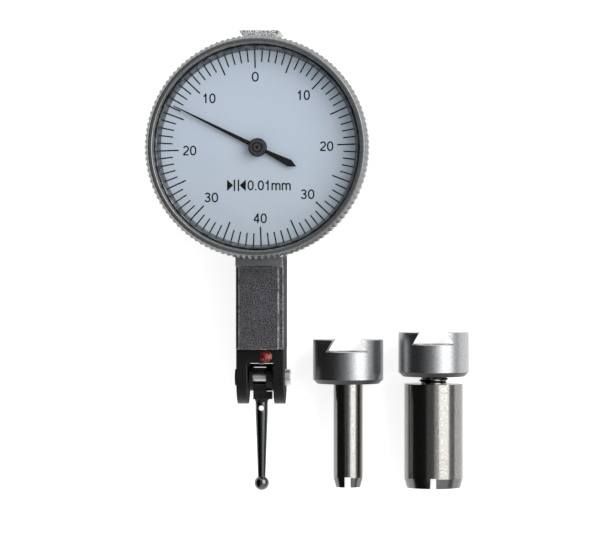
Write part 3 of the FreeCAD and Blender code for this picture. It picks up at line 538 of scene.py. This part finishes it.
def add_ribbon(build, points):
    """Line of ink along points (millimetres), as a thin strip closed on all sides."""
    closed = math.dist(points[0], points[-1]) < SAME_POINT
    if closed:
        points = points[:-1]
    count = len(points)
    rows = []
    for i, (x, y) in enumerate(points):
        before = points[i - 1] if i or closed else points[0]
        after = points[(i + 1) % count] if i + 1 < count or closed else points[-1]
        tangent = Vector((after[0] - before[0], after[1] - before[1])).normalized()
        side = Vector((-tangent.y, tangent.x)) * INK_WIDTH / 2
        top = PRINT_Z + PRINT_DEPTH
        corners = [(-1, PRINT_Z), (-1, top), (1, top), (1, PRINT_Z)]
        rows.append([build.verts.new(((x + side.x * sign) * MM, (y + side.y * sign) * MM,
                                      height * MM)) for sign, height in corners])
    pairs = list(zip(rows, rows[1:])) + ([(rows[-1], rows[0])] if closed else [])
    for first, second in pairs:
        join_rings(build, first, second)
    if not closed:
        close_ends(build, rows[0], rows[-1])


def add_words(build, words, center, height, width):
    """Numbers and letters in even strokes, fitted to a height and a width in millimetres."""
    lines = []
    pen = 0.0
    for letter in words:
        advance, strokes = STROKES[letter]
        lines += [[(x + pen, y) for x, y in stroke] for stroke in strokes]
        pen += advance
    low = min(x for line in lines for x, y in line)
    high = max(x for line in lines for x, y in line)
    scale = (width - INK_WIDTH) / (high - low)
    for line in lines:
        add_ribbon(build, [(center[0] + (x - (low + high) / 2) * scale,
                            center[1] + (y - 0.5) * height) for x, y in line])


def make_print():
    """The divisions, the numbers, the value of a division and the range sign, in one layer."""
    build = bmesh.new()
    # length and half width of every fifth mark and of the others, inwards from the outer radius
    outer, long_mark, short_mark = 13.04, (2.4, 0.09), (1.55, 0.084)
    for index in range(DIVISIONS):
        length, half = short_mark if index % 5 else long_mark
        inner = outer - length
        angle = math.radians(index * 360 / DIVISIONS) + PRINT_TURN
        corners = [(-half, inner), (half, inner), (half, outer), (-half, outer)]
        add_prism(build, [turned_point(x, y, angle) for x, y in corners])
    # number, degrees from 12 o'clock towards 9, radius and width
    places = [("0", 2.1, 9.48, 0.93), ("10", 44.7, 9.3, 1.72), ("20", 92.4, 9.2, 1.84),
              ("30", 136.9, 9.15, 1.84), ("40", 181.7, 9.48, 1.84), ("30", 226.8, 9.15, 1.84),
              ("20", 271.0, 9.2, 1.84), ("10", 318.8, 9.3, 1.72)]
    number_height, unit_height = 1.3, 1.32
    for words, degrees, radius, width in places:
        angle = math.radians(degrees)
        center = (-radius * math.sin(angle), radius * math.cos(angle))
        add_words(build, words, center, number_height, width)
    add_words(build, "0.01mm", (1.52, -5.06), unit_height, 5.8)
    bottom, top = -5.82, -4.3
    middle = (bottom + top) / 2
    # the range sign: two arrowheads that point at two upright bars
    add_prism(build, [(-4.13, bottom), (-3.32, middle), (-4.13, top)])
    for left, right in ((-3.24, -3.05), (-2.7, -2.51)):
        add_prism(build, [(left, bottom), (right, bottom), (right, top), (left, top)])
    add_prism(build, [(-1.62, bottom), (-1.62, top), (-2.45, middle)])
    mesh_piece("scale_print", build, print_black(), "bezel")


def make_bezel():
    """The turned ring in full: a V knurl that runs out on the chamfer, and a stepped window."""
    flutes, steps, depth = 120, 8, 0.2
    # power under 1 that rounds the flute's floor a little
    roundness = 0.85
    # radius, height and share of the flute's depth, from the bottom bore round to the window
    profile = [(13.38, 10.75, 0), (14.45, 10.75, 0), (14.62, 10.78, 0.1), (14.98, 11.1, 1),
               (15.0, 11.14, 1), (15.0, 13.1, 1), (15.0, 15.02, 1), (14.97, 15.1, 1),
               (14.72, 15.42, 0.55), (14.5, 15.7, 0.08), (14.42, 15.77, 0), (14.33, 15.8, 0),
               (14.0, 15.8, 0), (13.93, 15.77, 0), (13.82, 15.62, 0), (13.82, 15.42, 0),
               (13.8, 15.4, 0), (13.8, 14.6, 0), (13.52, 14.6, 0), (13.46, 14.56, 0),
               (13.4, 14.46, 0), (13.24, 13.6, 0), (13.08, 12.74, 0), (13.05, 12.67, 0),
               (13.08, 12.65, 0), (13.68, 12.65, 0), (13.68, 11.2, 0), (13.38, 11.2, 0)]
    count = flutes * steps
    build = bmesh.new()
    rings = []
    for radius, height, share in profile:
        ring = []
        for index in range(count):
            angle = 2 * math.pi * index / count
            phase = abs(index % steps - steps / 2) / (steps / 2)
            cut = depth * share * (1 - phase) ** roundness
            ring.append(build.verts.new(((radius - cut) * math.cos(angle) * MM,
                                         (radius - cut) * math.sin(angle) * MM, height * MM)))
        rings.append(ring)
    for first, second in zip(rings, rings[1:] + rings[:1]):
        join_rings(build, first, second)
    piece = mesh_piece("bezel_ring", build, finishes["bezel_steel"], "bezel")
    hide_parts("bezel")


def make_lacquer():
    """Irregular hardened drop over the sealed screw, in the place of its CAD solid."""
    low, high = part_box("lacquer_seal")
    center = (low + high) / 2
    half = (high - low) / 2
    # of a ball of radius 1: how far below its middle the drop's foot lies, and the drop's height
    foot, rise = 0.35, 1.4
    build = bmesh.new()
    bmesh.ops.create_icosphere(build, subdivisions=5, radius=1.0)
    for vertex in build.verts:
        direction = vertex.co.normalized()
        lump = noise.fractal(direction * 1.7 + Vector((3, 1, 4)), 1.0, 2.0, 3)
        ridge = noise.noise(direction * 3.4 + Vector((1, 5, 9)))
        swell = 1.04 + 0.2 * lump + 0.12 * ridge
        level = max(direction.z * (0.88 + 0.14 * lump), -foot)
        vertex.co = Vector((center.x + direction.x * swell * half.x,
                            center.y + direction.y * swell * half.y,
                            min(low.z + (level + foot) / rise * half.z * 2, high.z)))
    piece = mesh_piece("lacquer_drop", build, finishes["red_lacquer"], "frame")
    for face in piece.data.polygons:
        face.use_smooth = True
    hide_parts("lacquer_seal")


def make_thread():
    """Thread crests on the bare neck of the thick stem's shank."""
    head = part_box("stem_8mm_head")[0].y
    low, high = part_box("stem_8mm_shaft")
    center_x = (low.x + high.x) / 2
    center_z = (low.z + high.z) / 2
    root, crest, pitch = 1.74 * MM, 1.98 * MM, 0.42 * MM
    start, end = head - 0.98 * MM, head - 0.02 * MM
    steps_per_turn, fade_steps = 48, 12
    # places of a crest's root and flat along one pitch
    root_start, flat_start, flat_end, root_end = 0.05, 0.42, 0.58, 0.95
    count = int((end - start - pitch) / pitch * steps_per_turn)
    build = bmesh.new()
    rows = []
    for step in range(count + 1):
        angle = 2 * math.pi * step / steps_per_turn
        fade = min(1.0, step / fade_steps, (count - step) / fade_steps)
        peak = root + (crest - root) * fade
        base = start + pitch * step / steps_per_turn
        row = []
        for radius, shift in ((root, root_start), (peak, flat_start), (peak, flat_end),
                              (root, root_end)):
            row.append(build.verts.new((center_x + radius * math.cos(angle), base + shift * pitch,
                                        center_z + radius * math.sin(angle))))
        rows.append(row)
    for first, second in zip(rows, rows[1:]):
        join_rings(build, first, second)
    close_ends(build, rows[0], rows[-1])
    mesh_piece("neck_thread", build, finishes["dark_polished_steel"], "stem_8mm_screw")


def flat_sheet(name, corners, material):
    """Object with one four-cornered face, for the set around the part."""
    mesh = bpy.data.meshes.new(name)
    mesh.from_pydata(corners, [], [(0, 1, 2, 3)])
    mesh.materials.append(material)
    return place_object(name, mesh)


def make_floor():
    """Plain pale floor, a hair under the object."""
    half = 0.6
    floor = flat_sheet("floor", [(-half, -half, 0), (half, -half, 0), (half, half, 0),
                                 (-half, half, 0)], floor_white())
    floor.location.z = -0.02 * MM


def aim(piece, place, target):
    """Puts a camera or lamp at place, looking at target, with +Y up in its view."""
    back = (place - target).normalized()
    side = Vector((0, 1, 0)).cross(back).normalized()
    over = back.cross(side)
    turn = Matrix((side, over, back)).transposed().to_4x4()
    piece.matrix_world = Matrix.Translation(place) @ turn


def make_camera():
    """Above the dial, a few degrees to its right and a little towards 12 o'clock."""
    lens = bpy.data.cameras.new("camera")
    lens.sensor_width = 36.0
    lens.lens = 179.3
    lens.clip_start = 0.01
    lens.clip_end = 5.0
    camera = place_object("camera", lens)
    target = Vector((5.65, -16.4, 12.6)) * MM
    distance = 0.4
    right, over = math.sin(math.radians(3.5)), math.sin(math.radians(0.3))
    direction = Vector((right, over, math.sqrt(1 - right ** 2 - over ** 2)))
    aim(camera, target + distance * direction, target)
    bpy.context.scene.camera = camera


def make_lamp():
    """The one lamp: a large soft window to the right of the object."""
    light = bpy.data.lights.new("window", "AREA")
    light.shape = "RECTANGLE"
    light.size, light.size_y = 0.38, 0.5
    light.energy = 1.95
    light.color = (1.0, 0.99, 0.97)
    aim(place_object("window", light), Vector((0.33, 0.13, 0.35)), Vector((0.005, -0.015, 0.01)))


def make_card(name, start, end, level):
    """Flat grey glow along Y, from start to end (x, z), that only glossy rays see: a painted
    reflection, darker than the white world, in the metals.
    """
    finish = Finish(name, 0.0, 0.9)
    glow = finish.add("ShaderNodeEmission")
    glow.inputs["Color"].default_value = (level, level, level, 1)
    finish.plug(glow.outputs[0], finish.tree.nodes["Material Output"].inputs["Surface"])
    half = 0.5
    corners = [(start[0], -half, start[1]), (start[0], half, start[1]),
               (end[0], half, end[1]), (end[0], -half, end[1])]
    card = flat_sheet(name, corners, finish.material)
    for ray in ("camera", "diffuse", "transmission", "volume_scatter", "shadow"):
        setattr(card, "visible_" + ray, False)


def make_world():
    """White around the set; the light that falls on matt surfaces is softer than that."""
    world = bpy.data.worlds.new("studio")
    bpy.context.scene.world = world
    world.use_nodes = True
    tree = world.node_tree
    tree.nodes.clear()
    light = tree.nodes.new("ShaderNodeLightPath")
    level = tree.nodes.new("ShaderNodeMapRange")
    tree.links.new(light.outputs["Is Diffuse Ray"], level.inputs["Value"])
    level.inputs["To Min"].default_value = 1.0
    level.inputs["To Max"].default_value = AMBIENT
    studio = tree.nodes.new("ShaderNodeBackground")
    studio.inputs["Color"].default_value = (1, 1, 1, 1)
    tree.links.new(level.outputs[0], studio.inputs["Strength"])
    output = tree.nodes.new("ShaderNodeOutputWorld")
    tree.links.new(studio.outputs[0], output.inputs["Surface"])


bpy.context.scene.view_settings.view_transform = "Standard"
dress_nodes()
make_print()
make_bezel()
make_lacquer()
make_thread()
make_floor()
make_camera()
make_world()
# Painted reflections: grey sheets that only the metals show.
make_card("card_left", (-0.25, 0.0), (-0.25, 0.56), 0.02)
make_card("card_over", (-0.25, 0.56), (0.07, 0.56), 0.2)
make_card("card_right", (0.4, 0.0), (0.4, 0.16), 0.35)
make_lamp()
